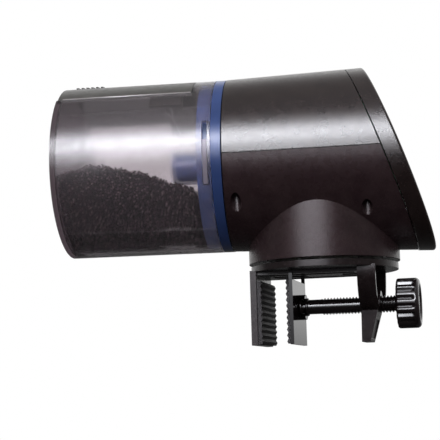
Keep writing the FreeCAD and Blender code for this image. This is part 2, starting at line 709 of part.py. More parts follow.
def teeth_slab(back, base, side, half, top, bottom):
    """Grip pad whose teeth run along Y; back and base are X planes and the teeth point to side."""
    count = int((top - bottom) / TOOTH_PITCH)
    pitch = (top - bottom) / count
    outline = [V(back, -half, bottom), V(base, -half, bottom)]
    for i in range(count):
        outline.append(V(base + side * TOOTH_H, -half, bottom + pitch * (i + 0.5)))
        outline.append(V(base, -half, bottom + pitch * (i + 1)))
    outline.append(V(back, -half, top))
    return prism(outline, V(0, 2 * half, 0))


def make_fixed_jaw_pad():
    back = JAW_X[1] + 0.02
    base = JAW_X[1] + PAD_T - TOOTH_H
    return teeth_slab(back, base, 1, JAW_HALF - 0.5, PAD_TOP, JAW_BOTTOM + 0.4)


def plate_outline(x0, x1, slack):
    """The pressure plate seen along X, with an ear at each top corner."""
    half, ear = PLATE_HALF - slack, EAR_Y + slack
    top, bottom = PLATE_TOP - slack, PLATE_BOTTOM + slack
    points = [(-half, bottom), (half, bottom), (half, EAR_TOP), (ear, EAR_TOP)]
    points += [(ear, top), (-ear, top), (-ear, EAR_TOP), (-half, EAR_TOP)]
    return prism([V(x0, y, z) for y, z in points], V(x1 - x0, 0, 0))


def make_pressure_plate():
    plate = plate_outline(*PLATE_X, 0.0)
    x0, x1 = SOCKET_X
    socket = rod(5.0, x0, x1, 0, CLAMP_Z)
    plate = fuse([plate, socket])
    head_r, neck_r, lip = 3.9, 2.6, x1 - 1.2
    plate = plate.cut(rod(head_r, x0 + 0.05, lip, 0, CLAMP_Z))
    plate = plate.cut(rod(neck_r, x0 + 1, x1 + 1, 0, CLAMP_Z))
    plate = plate.cut(box(x0 + 0.05, lip, -6, 0, CLAMP_Z - head_r, CLAMP_Z + head_r))
    return plate.cut(box(x0 + 0.05, x1 + 1, -6, 0, CLAMP_Z - neck_r, CLAMP_Z + neck_r))


def make_pressure_pad():
    back = PLATE_X[0] - 0.02
    base = PLATE_X[0] - PLATE_PAD_T + TOOTH_H
    pad = teeth_slab(back, base, -1, PLATE_HALF, PLATE_TOP, PLATE_BOTTOM)
    return pad.common(plate_outline(PLATE_X[0] - 5, PLATE_X[0], 0.3))


def make_clamp_screw():
    """Ridges stand for the thread; the flats on the front half run up to the arm."""
    head, neck, flange = SOCKET_X[0] + 0.15, SOCKET_X[1] - 1.3, SOCKET_X[1] + 0.05
    shank_r = 2.9
    profile = [(head, 0), (head, 3.6), (neck, 3.6), (neck, 2.4), (flange, 2.4), (flange, 3.55)]
    profile += [(flange + 1.0, 3.55), (flange + 1.0, shank_r), (THREAD_X[0], shank_r)]
    x = THREAD_X[0]
    while x + PITCH <= THREAD_X[1]:
        profile += [(x, CORE_R), (x + 0.45, THREAD_R), (x + 0.7, THREAD_R), (x + 1.15, CORE_R)]
        x += PITCH
    profile += [(KNOB_X[0] + 5.0, CORE_R), (KNOB_X[0] + 5.0, 0)]
    screw = turned(profile, CLAMP_Z)
    for s in (-1, 1):
        y0, y1 = sorted((s * CORE_R, s * FAR))
        screw = screw.cut(box(flange + 1.0, FLAT_END_X, y0, y1, -FAR, 0))
    return screw


def make_clamp_knob():
    x0, x1 = KNOB_X
    knob = rod(KNOB_R, x0, x1, 0, CLAMP_Z)
    rim = max(knob.Edges, key=lambda e: e.CenterOfMass.x if e.Length > KNOB_R * 3 else -FAR)
    knob = knob.makeFillet(1.6, [rim])
    for i in range(KNOB_FLUTES):
        y, z = step_from(0.0, CLAMP_Z, 360.0 * i / KNOB_FLUTES, KNOB_R + 0.25)
        knob = knob.cut(rod(1.0, x0 - 1, x1 - 1.7, y, z))
    dish = rod(KNOB_R - 3.0, x1 - 0.8, x1 + 1, 0, CLAMP_Z)
    return knob.cut(dish).cut(rod(CORE_R + RUN, x0 - 1, x0 + 5.05, 0, CLAMP_Z))


# ---------------------------------------------------------------- export

CLAMP_PIECES = (
    "clamp_frame", "fixed_jaw_pad", "swivel_washer", "swivel_retainer", "swivel_screw",
    "pressure_plate", "pressure_pad", "clamp_screw", "clamp_knob",
)

PIECES = {
    "clamp_frame": make_clamp_frame, "fixed_jaw_pad": make_fixed_jaw_pad,
    "swivel_washer": make_swivel_washer, "swivel_retainer": make_swivel_retainer,
    "swivel_screw": make_swivel_screw, "pressure_plate": make_pressure_plate,
    "pressure_pad": make_pressure_pad, "clamp_screw": make_clamp_screw, "clamp_knob": make_clamp_knob,
    "lower_housing": make_lower_housing, "upper_housing": make_upper_housing,
    "housing_screws": make_housing_screws, "battery_door": make_battery_door,
    "bezel": make_bezel, "lcd_lens": make_lcd_lens, "lcd_module": make_lcd_module,
    "circuit_board": make_circuit_board, "board_screws": make_board_screws,
    "tact_switches": make_tact_switches, "battery_tray": make_battery_tray,
    "batteries": make_batteries, "battery_contacts": make_battery_contacts,
    "battery_springs": make_battery_springs,
    "gearbox_plate": make_gearbox_plate, "motor": make_motor, "motor_pinion": make_motor_pinion,
    "compound_gear": make_compound_gear, "gear_pin": make_gear_pin, "hub_bush": make_hub_bush,
    "output_hub": make_output_hub, "output_gear": make_output_gear,
    "revolution_switch": make_revolution_switch, "drum_lid": make_drum_lid,
    "drum_shell": make_drum_shell, "drum_end_cap": make_drum_end_cap, "port_frame": make_port_frame,
    "hatch": make_hatch, "food_pellets": make_food,
}

os.makedirs("parts", exist_ok=True)
for piece_name, maker in PIECES.items():
    save(piece_name, maker())
for piece_name, spot in zip(BUTTON_NAMES, button_spots()):
    save(piece_name, make_button(*spot))
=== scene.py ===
import bmesh
import bpy
import json
import math
import numpy as np
from mathutils import Matrix, Vector


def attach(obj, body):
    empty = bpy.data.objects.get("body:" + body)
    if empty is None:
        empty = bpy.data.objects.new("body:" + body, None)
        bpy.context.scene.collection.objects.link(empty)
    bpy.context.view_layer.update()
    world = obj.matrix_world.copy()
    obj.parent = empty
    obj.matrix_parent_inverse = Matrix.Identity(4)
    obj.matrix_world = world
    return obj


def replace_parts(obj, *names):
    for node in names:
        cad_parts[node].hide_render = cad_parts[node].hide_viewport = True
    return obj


# Automatic pet feeder: materials on the CAD nodes, detailed pieces where a plain solid would show, a soft
# studio and the camera. Lengths are in millimetres in this file and MM turns them into metres. The origin is
# the middle of the clamp's rim seat, +X runs towards the control panel, +Z is up and -Y is the front.

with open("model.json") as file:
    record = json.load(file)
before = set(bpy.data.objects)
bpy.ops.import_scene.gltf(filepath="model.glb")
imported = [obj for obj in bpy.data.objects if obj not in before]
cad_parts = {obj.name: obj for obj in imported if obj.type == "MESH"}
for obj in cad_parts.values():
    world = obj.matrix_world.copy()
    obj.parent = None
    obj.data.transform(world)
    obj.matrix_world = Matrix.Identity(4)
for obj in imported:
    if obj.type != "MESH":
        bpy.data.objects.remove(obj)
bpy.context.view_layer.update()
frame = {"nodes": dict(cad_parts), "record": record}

MM = 0.001
AXIS_Z = 46.0                  # drum axis
DRUM_R = 35.0

# Clamp screw and knob: along the line y = 0, z = CLAMP_Z of the clamp, which stands turned by CLAMP_YAW
CLAMP_YAW = math.radians(-6.0)
CLAMP_Z = -12.5
PITCH = 1.25
THREAD_R = 3.3
THREAD_FLAT = 0.12             # part of the wave that is cut off at the crest and at the root
CORE_R = 2.75
SHANK_R = 2.9
FLANGE_R = 3.55
NECK_R = 2.4
HEAD_R = 3.6
HEAD_X = -10.55
NECK_X = -9.25
HEAD_EDGE = (0.3, 0.2)         # chamfers at the head's two ends
FLANGE_X = (-7.9, -6.9)
FLANGE_EDGE = 0.15
THREAD_X = (-2.0, 27.9)
FLAT_END_X = 15.5              # up to the arm the thread is cut away at both sides
TOOTH_HALF = math.radians(42)  # and is left this far from the top and the bottom
TOOTH_FADE = math.radians(8)
SCREW_SIDES = 72
RINGS_PER_TURN = 10
THREAD_RUNOUT = 0.3
SCREW_IN_KNOB = 4.9

KNOB_X = (28.3, 37.3)
KNOB_R = 9.85
KNOB_RIM = 1.7                 # rounding of the outer rim
KNOB_RIM_STEPS = 7
KNOB_FLUTES = 18
FLUTE_DEPTH = 0.95
FLUTE_WIDTH = 0.62             # of the spacing of the flutes
FLUTE_SIDES = 14               # points round each flute

# Sliding hatch
HATCH_X = (-100.8, -48.9)
HATCH_HALF = math.radians(42.0)
RAIL_INSET = math.radians(0.9)
RAIL_DEPTH = 0.1
RAIL_R = 0.32
RAIL_TIP = (0.15, 0.1)         # length and end radius of a rail's tapered tip
RAIL_SIDES = 16

# Food heap: x, and z from the drum axis, along its top
HEAP_TOP = ((-100.9, -6.0), (-96.0, -4.0), (-88.0, -2.2), (-75.0, -4.3), (-66.0, -6.8), (-47.5, -13.0))
HEAP_LUMPS = 0.5
HEAP_R = 33.0
HEAP_R_AT_PORT = 31.75         # the turning port frame needs this much room
PORT_FRAME_X = (-65.6, -51.4)
GRANULE_R = 0.55
GRANULE_STEP = 1.05
GRANULE_SCATTER = 0.4          # how far a granule lies from its regular place
GRANULE_LIFT = (-0.75, 0.05)   # from the heap's top to the granules on it
GRANULE_DEPTH = 0.22           # spread of the granules' depth behind the drum wall
GRANULE_SIZE = (0.72, 1.0)     # smallest and largest, in parts of GRANULE_R
GRANULE_FLATTEST = 0.8
END_INSET = 0.55
END_SCATTER = 0.3
CORE_INSET = 0.5               # of the dark core from the heap's ends, wall side and top
CORE_DEPTH = 1.1
CORE_SINK = 0.7
CORE_STATIONS = 28
CORE_SIDES = 40

# Joint of the two housing shells
BODY_LEFT = -35.8
BODY_R = 35.1
BODY_FLARE = 0.0311
SEAM_Z = 45.2
SEAM_X = (-35.5, 23.3)
SEAM_BEAD = 0.16
SEAM_SUNK = 0.35               # how far its middle lies below the shells' surface, in parts of its radius
SEAM_STATIONS = 40
SEAM_SIDES = 12

# Control panel frame: x down the panel, z out of it, origin on the drum axis
PANEL_X = 31.13
PANEL_TURN = math.radians(70.2)
LCD_X = -9.0
MODULE_TOP = -2.25
INK_Z = (MODULE_TOP + 0.01, MODULE_TOP + 0.12)

# Seven-segment digits: each segment's middle (across, up) and whether it lies flat, for a digit 1 by 2
SEGMENTS = {"a": (0, 1, True), "b": (0.5, 0.5, False), "c": (0.5, -0.5, False), "d": (0, -1, True),
            "e": (-0.5, -0.5, False), "f": (-0.5, 0.5, False), "g": (0, 0, True)}
DIGITS = {"0": "abcdef", "1": "bc", "2": "abged"}
DIGIT_SIZE = 4.0
SEGMENT_HALF = (DIGIT_SIZE * 0.4, 0.42)
COLON_HALF = (0.45, 0.45)
COLON_UP = 1.6
DIGIT_PLACES = (("1", -9.6), ("2", -3.9), ("0", 3.9), ("0", 9.6))

# Lid: where its deep blue flange gives way to the thin sleeve, and where its lugs reach past the drum's bore
SLEEVE_X = (-40.3, -39.9)
LUG_X = (-41.4, -41.3)
LUG_REACH = (33.2, 33.4)
SLEEVE_BLUE = (0.04, 0.075, 0.20)
SLEEVE_LILAC = (0.075, 0.095, 0.22)
# Pale lilac on the lugs where they show through the drum's slot: a painted highlight of the soft-box in front
LUG_PAINTED_HIGHLIGHT = (0.50, 0.45, 0.56)

BLURRED_PART = 0.68            # of the light through the frosted drum wall
WALL_IOR = 1.3
MIRROR_HEAD_ON = 0.04          # of the glancing reflection that is left when looking straight at a clear wall
WHITE = (1.0, 1.0, 1.0)

SEED = 7


# ---------------------------------------------------------------- nodes and materials

class Nodes:
    """A node tree, with short calls for what the materials and the studio use."""

    def __init__(self, tree):
        self.nodes = tree.nodes
        self.links = tree.links
        self.nodes.clear()

    def link(self, source, target):
        self.links.new(source, target)

    def maths(self, kind, operation, *sources):
        """A Math or Vector Math node; each source is a number, a vector or a socket."""
        node = self.nodes.new(kind)
        node.operation = operation
        for socket, source in zip(node.inputs, sources):
            if isinstance(source, (float, tuple)):
                socket.default_value = source
            else:
                self.link(source, socket)
        return node

    def ranged(self, value, low, high, start=0.3, stop=0.7, smooth=False):
        """Takes start..stop to low..high."""
        node = self.nodes.new("ShaderNodeMapRange")
        if smooth:
            node.interpolation_type = "SMOOTHSTEP"
        node.inputs["From Min"].default_value = start
        node.inputs["From Max"].default_value = stop
        node.inputs["To Min"].default_value = low
        node.inputs["To Max"].default_value = high
        self.link(value, node.inputs["Value"])
        return node.outputs["Result"]

    def ramp(self, value, stops):
        node = self.nodes.new("ShaderNodeValToRGB")
        elements = node.color_ramp.elements
        while len(elements) < len(stops):
            elements.new(0.5)
        for element, (place, color) in zip(elements, stops):
            element.position = place
            element.color = (*color, 1.0)
        self.link(value, node.inputs["Fac"])
        return node.outputs["Color"]

    def blended(self, factor, a, b):
        """a where factor is 0 and b where it is 1; each is a colour or a socket."""
        node = self.nodes.new("ShaderNodeMix")
        node.data_type = "RGBA"
        self.link(factor, node.inputs["Factor"])
        for socket, source in ((node.inputs[6], a), (node.inputs[7], b)):
            if isinstance(source, tuple):
                socket.default_value = (*source, 1.0)
            else:
                self.link(source, socket)
        return node.outputs[2]

    def mixed_shader(self, first, second):
        """A Mix Shader of two shader nodes; its Fac is left to the caller."""
        node = self.nodes.new("ShaderNodeMixShader")
        self.link(first.outputs[0], node.inputs[1])
        self.link(second.outputs[0], node.inputs[2])
        return node


class Shader(Nodes):
    """A material's node tree, with textures and surfaces measured in millimetres."""

    def __init__(self, name):
        self.material = bpy.data.materials.new(name)
        self.material.use_nodes = True
        super().__init__(self.material.node_tree)
        self.out = self.nodes.new("ShaderNodeOutputMaterial")
        self.coordinates = self.nodes.new("ShaderNodeTexCoord")

    def noise(self, size, detail=3.0, distortion=0.0):
        """Noise whose features measure about size millimetres."""
        node = self.nodes.new("ShaderNodeTexNoise")
        node.inputs["Scale"].default_value = 1.0 / (size * MM)
        node.inputs["Detail"].default_value = detail
        node.inputs["Distortion"].default_value = distortion
        self.link(self.coordinates.outputs["Object"], node.inputs["Vector"])
        return node.outputs["Fac"]

    def mottled(self, size, detail, dark, light):
        """Colour that wanders between dark and light in patches of about size millimetres."""
        return self.ramp(self.noise(size, detail), ((0.3, dark), (0.7, light)))

    def place(self):
        """The point's x and its distance from the drum axis, in millimetres."""
        per_mm = (1 / MM, 1 / MM, 1 / MM)
        to_axis = (0.0, 0.0, -AXIS_Z)
        here = self.coordinates.outputs["Object"]
        scaled = self.maths("ShaderNodeVectorMath", "MULTIPLY_ADD", here, per_mm, to_axis)
        parts = self.nodes.new("ShaderNodeSeparateXYZ")
        self.link(scaled.outputs["Vector"], parts.inputs["Vector"])
        across = self.maths("ShaderNodeVectorMath", "MULTIPLY", scaled.outputs["Vector"], (0.0, 1.0, 1.0))
        reach = self.maths("ShaderNodeVectorMath", "LENGTH", across.outputs["Vector"])
        return parts.outputs["X"], reach.outputs["Value"]

    def bump(self, value, height, normal=None):
        """Bump of the given height in millimetres."""
        node = self.nodes.new("ShaderNodeBump")
        node.inputs["Distance"].default_value = height * MM
        self.link(value, node.inputs["Height"])
        if normal is not None:
            self.link(normal, node.inputs["Normal"])
        return node.outputs["Normal"]

    def rounded(self, radius):
        """Edges softened by a radius in millimetres."""
        node = self.nodes.new("ShaderNodeBevel")
        node.samples = 4
        node.inputs["Radius"].default_value = radius * MM
        return node.outputs["Normal"]

    def principled(self, specular=0.5, metallic=0.0):
        node = self.nodes.new("ShaderNodeBsdfPrincipled")
        node.inputs["Specular IOR Level"].default_value = specular
        node.inputs["Metallic"].default_value = metallic
        return node

    def colored(self, kind, color):
        """A simple shader node of one colour."""
        node = self.nodes.new(kind)
        node.inputs["Color"].default_value = (*color, 1.0)
        return node

    def finish(self, shader):
        self.link(shader.outputs[0], self.out.inputs["Surface"])
        return self.material


def plastic(name, dark, light, rough=(0.3, 0.45), grain=0.35, grain_height=0.03, edge=0.25, specular=0.5):
    """Moulded plastic: mottled colour, uneven gloss, fine grain and softened edges."""
    s = Shader(name)
    shader = s.principled(specular)
    s.link(s.mottled(6.0, 4.0, dark, light), shader.inputs["Base Color"])
    s.link(s.ranged(s.noise(2.5, 5.0), *rough), shader.inputs["Roughness"])
    normal = s.rounded(edge)
    if grain_height > 0:
        normal = s.bump(s.noise(grain, 2.0), grain_height, normal)
    s.link(normal, shader.inputs["Normal"])
    return s.finish(shader)


def ring_plastic(name, dark, light):
    """The lid's blue plastic: deep on the thick flange, paler on its thin sleeve and hub, and pale lilac on
    the lugs where they reach past the drum's bore, as a painted highlight.
    """
    s = Shader(name)
    shader = s.principled(specular=0.28)
    x, reach = s.place()
    deep = s.mottled(6.0, 4.0, dark, light)
    # paler blue over the sleeve and hub, which lie inside the drum
    paler_blue = s.mottled(5.0, 3.0, SLEEVE_BLUE, SLEEVE_LILAC)
    color = s.blended(s.ranged(x, 1.0, 0.0, *SLEEVE_X), deep, paler_blue)
    left = s.ranged(x, 1.0, 0.0, *LUG_X)
    far = s.ranged(reach, 0.0, 1.0, *LUG_REACH)
    # Mask of the lugs past the drum's bore, where the painted highlight goes
    painted_lug_highlight = s.maths("ShaderNodeMath", "MULTIPLY", left, far)
    s.link(s.blended(painted_lug_highlight.outputs[0], color, LUG_PAINTED_HIGHLIGHT), shader.inputs["Base Color"])
    s.link(s.ranged(s.noise(2.5, 5.0), 0.16, 0.26), shader.inputs["Roughness"])
    s.link(s.rounded(0.3), shader.inputs["Normal"])
    return s.finish(shader)


def clear_plastic(name, tint, haze_color, haze, rough, mirror, blur=0.0):
    """Clear wall: it tints and, with blur, softens what is behind it, and mirrors part of the studio."""
    s = Shader(name)
    through = s.colored("ShaderNodeBsdfTransparent", tint)
    if blur > 0:
        soft = s.colored("ShaderNodeBsdfRefraction", tint)
        soft.inputs["IOR"].default_value = WALL_IOR
        s.link(s.ranged(s.noise(5.0, 3.0), blur * 0.9, blur * 1.1), soft.inputs["Roughness"])
        through = s.mixed_shader(through, soft)
        through.inputs["Fac"].default_value = BLURRED_PART
    hazy = s.mixed_shader(through, s.colored("ShaderNodeBsdfDiffuse", haze_color))
    s.link(s.ranged(s.noise(4.0, 6.0), haze * 0.7, haze * 1.3), hazy.inputs["Fac"])
    gloss = s.colored("ShaderNodeBsdfGlossy", WHITE)
    s.link(s.ranged(s.noise(3.0, 5.0), *rough), gloss.inputs["Roughness"])
    glancing = s.nodes.new("ShaderNodeLayerWeight")
    steep = s.maths("ShaderNodeMath", "POWER", glancing.outputs["Facing"], 5.0)
    shell = s.mixed_shader(hazy, gloss)
    s.link(s.ranged(steep.outputs[0], MIRROR_HEAD_ON * mirror, mirror, 0.0, 1.0), shell.inputs["Fac"])
    return s.finish(shell)


def metal(name, color, rough=(0.2, 0.35)):
    """Metal with fine uneven scratches."""
    s = Shader(name)
    shader = s.principled(metallic=1.0)
    shader.inputs["Base Color"].default_value = (*color, 1.0)
    s.link(s.ranged(s.noise(0.4, 6.0, 1.0), *rough), shader.inputs["Roughness"])
    s.link(s.bump(s.noise(0.4, 4.0), 0.006, s.rounded(0.12)), shader.inputs["Normal"])
    return s.finish(shader)


def rubber(name, dark, light):
    """Matt rubber with a fine uneven skin."""
    s = Shader(name)
    shader = s.principled(specular=0.35)
    s.link(s.mottled(1.2, 5.0, dark, light), shader.inputs["Base Color"])
    s.link(s.ranged(s.noise(0.8, 4.0), 0.55, 0.75), shader.inputs["Roughness"])
    s.link(s.bump(s.noise(0.25, 3.0), 0.03, s.rounded(0.15)), shader.inputs["Normal"])
    return s.finish(shader)


def granules(name):
    """Dry granules, each a little different in colour."""
    s = Shader(name)
    shader = s.principled(specular=0.3)
    tone = s.nodes.new("ShaderNodeAttribute")
    tone.attribute_name = "tone"
    # The darkest stop is what the heap's core gets, as painted shade between the granules
    stops = ((0.0, (0.006, 0.003, 0.004)), (0.5, (0.038, 0.022, 0.028)), (1.0, (0.23, 0.17, 0.18)))
    s.link(s.ramp(tone.outputs["Fac"], stops), shader.inputs["Base Color"])
    s.link(s.ranged(s.noise(0.4, 3.0), 0.5, 0.8), shader.inputs["Roughness"])
    s.link(s.bump(s.noise(0.3, 3.0), 0.05), shader.inputs["Normal"])
    return s.finish(shader)


# Materials by the slot of a CAD node
MATERIALS = {
    "clear_drum": clear_plastic(
        "smoke_clear", tint=(0.81, 0.785, 0.80), haze_color=(0.42, 0.34, 0.40), haze=0.025,
        rough=(0.25, 0.34), mirror=0.95, blur=0.16,
    ),
    "lens_clear": clear_plastic(
        "lens", tint=(0.9, 0.92, 0.91), haze_color=(0.5, 0.5, 0.5), haze=0.01,
        rough=(0.02, 0.04), mirror=1.0,
    ),
    "hatch_black": plastic(
        "hatch_satin", (0.040, 0.036, 0.032), (0.056, 0.052, 0.046),
        rough=(0.28, 0.4), grain=0.3, grain_height=0.015, edge=0.3,
    ),
    "housing_black": plastic(
        "housing_grain", (0.016, 0.009, 0.009), (0.027, 0.017, 0.016),
        rough=(0.19, 0.26), grain=0.42, grain_height=0.065,
    ),
    "clamp_black": plastic(
        "clamp_gloss", (0.013, 0.009, 0.010), (0.022, 0.016, 0.017),
        rough=(0.12, 0.22), grain_height=0.0, edge=0.3,
    ),
    "lcd_grey": plastic(
        "lcd_grey", (0.30, 0.34, 0.27), (0.36, 0.40, 0.32),
        rough=(0.25, 0.35), grain_height=0.0, edge=0.1,
    ),
    "board_green": plastic(
        "board_green", (0.012, 0.12, 0.04), (0.02, 0.17, 0.06),
        rough=(0.3, 0.4), grain=0.4, grain_height=0.01, edge=0.1,
    ),
    "gear_white": plastic(
        "acetal", (0.70, 0.69, 0.65), (0.80, 0.79, 0.75),
        rough=(0.35, 0.5), grain=0.5, grain_height=0.01, edge=0.1,
    ),
    "cell_sleeve": plastic(
        "cell_sleeve", (0.05, 0.05, 0.06), (0.07, 0.07, 0.08),
        rough=(0.2, 0.3), grain_height=0.0, edge=0.2,
    ),
    "blue_plastic": ring_plastic("ring_blue", (0.042, 0.080, 0.25), (0.056, 0.10, 0.30)),
    "pad_rubber": rubber("pad_rubber", (0.009, 0.007, 0.008), (0.017, 0.014, 0.015)),
    "button_grey": rubber("button_grey", (0.26, 0.27, 0.28), (0.33, 0.34, 0.35)),
    "steel": metal("plated_steel", (0.56, 0.56, 0.57)),
    "brass_bush": metal("turned_brass", (0.72, 0.52, 0.22)),
    "food": granules("granules"),
}

# CAD nodes whose finish differs from the rest of their slot
SPECIAL = {
    "clamp_frame": plastic(
        "clamp_satin", (0.016, 0.010, 0.011), (0.026, 0.018, 0.019),
        rough=(0.2, 0.3), grain=0.4, grain_height=0.02, edge=0.2, specular=0.25,
    ),
    "pressure_plate": plastic(
        "plate_gloss", (0.007, 0.005, 0.006), (0.013, 0.010, 0.011),
        rough=(0.05, 0.09), grain_height=0.0, edge=0.1, specular=0.3,
    ),
    "lower_housing": plastic(
        "lower_satin", (0.032, 0.017, 0.020), (0.050, 0.030, 0.033),
        rough=(0.24, 0.32), grain=0.45, grain_height=0.06, edge=0.25, specular=0.27,
    ),
    "drum_end_cap": clear_plastic(
        "end_cap_smoke", tint=(0.30, 0.26, 0.28), haze_color=(0.10, 0.08, 0.09), haze=0.10,
        rough=(0.15, 0.25), mirror=0.6,
    ),
    # The housing screws deep in their holes are darkened as painted shade, so the holes read dark
    "housing_screws": metal("screw_painted_shade", (0.09, 0.085, 0.085), (0.3, 0.45)),
}

# Pale colour of the hatch's rails: a painted highlight along the hatch's long edges
RAIL_PAINTED_HIGHLIGHT = plastic(
    "rail_painted_highlight", (0.42, 0.38, 0.40), (0.52, 0.47, 0.49),
    rough=(0.15, 0.25), grain_height=0.0, edge=0.05, specular=1.0,
)
INK = plastic(
    "lcd_ink", (0.03, 0.035, 0.03), (0.04, 0.045, 0.04),
    rough=(0.4, 0.5), grain_height=0.0, edge=0.05,
)


def dress_cad_nodes():
    """Gives each CAD node its own finish, or else the one of its slot."""
    for entry in frame["record"]["subparts"]:
        name = entry["node"]
        material = SPECIAL.get(name) or MATERIALS[entry["material_slot"]]
        for place in frame["nodes"][name].material_slots:
            place.material = material


# ---------------------------------------------------------------- pieces

def piece(name, points, faces, body, slot, material=None, smooth=True):
    """A mesh from points in millimetres, riding on a body, in its slot's material unless one is given."""
    mesh = bpy.data.meshes.new(name)
    mesh.from_pydata([Vector(p) * MM for p in points], [], faces)
    mesh.validate()
    if smooth:
        mesh.polygons.foreach_set("use_smooth", [True] * len(mesh.polygons))
    mesh.materials.append(material or MATERIALS[slot])
    made = bpy.data.objects.new(name, mesh)
    bpy.context.scene.collection.objects.link(made)
    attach(made, body)
    return made


def rings_to_mesh(rings):
    """Joins closed rings of equal length into a skin, with a flat cap at each end."""
    count = len(rings[0])
    points = [p for r in rings for p in r]
    faces = []
    for i in range(len(rings) - 1):
        a, b = i * count, (i + 1) * count
        for k in range(count):
            n = (k + 1) % count
            faces.append((a + k, a + n, b + n, b + k))
    faces.append(tuple(range(count))[::-1])
    last = (len(rings) - 1) * count
    faces.append(tuple(range(last, last + count)))
    return points, faces


def sharpened(made, degrees):
    """Keeps edges crisp where two faces meet at more than this angle."""
    made.data.set_sharp_from_angle(angle=math.radians(degrees))
    return made


def clamp_point(x, y, z):
    """A point of the clamp's own frame, in the row frame."""
    cos_yaw = math.cos(CLAMP_YAW)
    sin_yaw = math.sin(CLAMP_YAW)
    return (x * cos_yaw - y * sin_yaw, x * sin_yaw + y * cos_yaw, z)


def screw_point(x, radius, turn):
    """A point at a radius from the screw's line, turn being the part of a full circle."""
    angle = 2 * math.pi * turn
    return clamp_point(x, radius * math.cos(angle), CLAMP_Z + radius * math.sin(angle))


def screw_ring(x, radius):
    return [screw_point(x, radius, k / SCREW_SIDES) for k in range(SCREW_SIDES)]


def thread_radius(phase):
    """Radius of the thread, with rounded crest and root, at a phase counted in turns."""
    wave = 0.5 - 0.5 * math.cos(2 * math.pi * phase)
    flattened = min(1.0, max(0.0, (wave - THREAD_FLAT) / (1 - 2 * THREAD_FLAT)))
    return CORE_R + (THREAD_R - CORE_R) * flattened


def tooth(x, turn):
    """How much of the thread stands at a place round the screw: all of it past the cut-away sides."""
    if x > FLAT_END_X:
        return 1.0
    from_vertical = math.asin(min(1.0, abs(math.cos(2 * math.pi * turn))))
    return min(1.0, max(0.0, (TOOTH_HALF - from_vertical) / TOOTH_FADE))


def thread_ring(x):
    """A ring of the thread, which grows out of the shank over its first turn."""
    fade = min(1.0, (x - THREAD_X[0]) / PITCH)
    ring = []
    for k in range(SCREW_SIDES):
        turn = k / SCREW_SIDES
        height = thread_radius(x / PITCH - turn) - SHANK_R
        ring.append(screw_point(x, SHANK_R + height * fade * tooth(x, turn), turn))
    return ring


def clamp_screw():
    """Clamp screw with a helical thread, cut away at both sides between the plate and the arm."""
    start, stop = HEAD_EDGE
    low, high = FLANGE_X
    plain = [
        (HEAD_X, HEAD_R - start),
        (HEAD_X + start, HEAD_R),
        (NECK_X - stop, HEAD_R),
        (NECK_X, HEAD_R - stop),
        (NECK_X, NECK_R),
        (low, NECK_R),
        (low, FLANGE_R - FLANGE_EDGE),
        (low + FLANGE_EDGE, FLANGE_R),
        (high - FLANGE_EDGE, FLANGE_R),
        (high, FLANGE_R - FLANGE_EDGE),
        (high, SHANK_R),
        (THREAD_X[0], SHANK_R),
    ]
    rings = [screw_ring(x, radius) for x, radius in plain]
    step = PITCH / RINGS_PER_TURN
    steps = int((THREAD_X[1] - THREAD_X[0]) / step)
    thread = [THREAD_X[0] + (i + 1) * step for i in range(steps)]
    rings += [thread_ring(x) for x in thread]
    rings += [screw_ring(x, CORE_R) for x in (thread[-1] + THREAD_RUNOUT, KNOB_X[0] + SCREW_IN_KNOB)]
    made = piece("screw_thread", *rings_to_mesh(rings), "thumbscrew", "clamp_black")
    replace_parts(sharpened(made, 50), "clamp_screw")


def flute_depth(turn):
    """How far the knob's outline dips: round lobes with narrow valleys between them."""
    phase = (turn * KNOB_FLUTES) % 1.0
    from_valley = abs(phase - 0.5) * 2
    return FLUTE_DEPTH * max(0.0, 1 - from_valley / FLUTE_WIDTH) ** 0.8


def knob_profile():
    """(x, radius, part of the flute's depth), from the bore at the back round the rim to the face."""
    back, face = KNOB_X
    profile = [
        (back, CORE_R + 0.06, 0.0),
        (back, KNOB_R - 1.2, 1.0),
        (back + 0.12, KNOB_R - 0.45, 1.0),
        (back + 0.5, KNOB_R - 0.08, 1.0),
        (back + 1.0, KNOB_R, 1.0),
        (face - 3.0, KNOB_R, 1.0),
        (face - 2.2, KNOB_R, 0.75),
        (face - KNOB_RIM, KNOB_R, 0.2),
    ]
    for i in range(1, KNOB_RIM_STEPS + 1):
        a = math.pi / 2 * i / KNOB_RIM_STEPS
        x = face - KNOB_RIM + KNOB_RIM * math.sin(a)
        profile.append((x, KNOB_R - KNOB_RIM + KNOB_RIM * math.cos(a), 0.0))
    profile += [
        (face, KNOB_R - 2.3, 0.0),
        (face - 0.25, KNOB_R - 2.8, 0.0),
        (face - 0.8, KNOB_R - 3.2, 0.0),
        (face - 0.8, 3.4, 0.0),
        (face - 0.5, 2.6, 0.0),
        (face - 0.5, 0.4, 0.0),
    ]
    return profile


def clamp_knob():
    """Fluted knob with a rounded outer rim and a dished face."""
    turns = [k / (KNOB_FLUTES * FLUTE_SIDES) for k in range(KNOB_FLUTES * FLUTE_SIDES)]
    rings = []
    for x, radius, fluted in knob_profile():
        rings.append([screw_point(x, radius - fluted * flute_depth(turn), turn) for turn in turns])
    made = piece("knob_fluted", *rings_to_mesh(rings), "thumbscrew", "clamp_black")
    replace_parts(sharpened(made, 40), "clamp_knob")


def tube_ring(x, y, z, radius, sides):
    """A ring round a line that runs along x."""
    ring = []
    for k in range(sides):
        a = 2 * math.pi * k / sides
        ring.append((x, y + radius * math.cos(a), z + radius * math.sin(a)))
    return ring


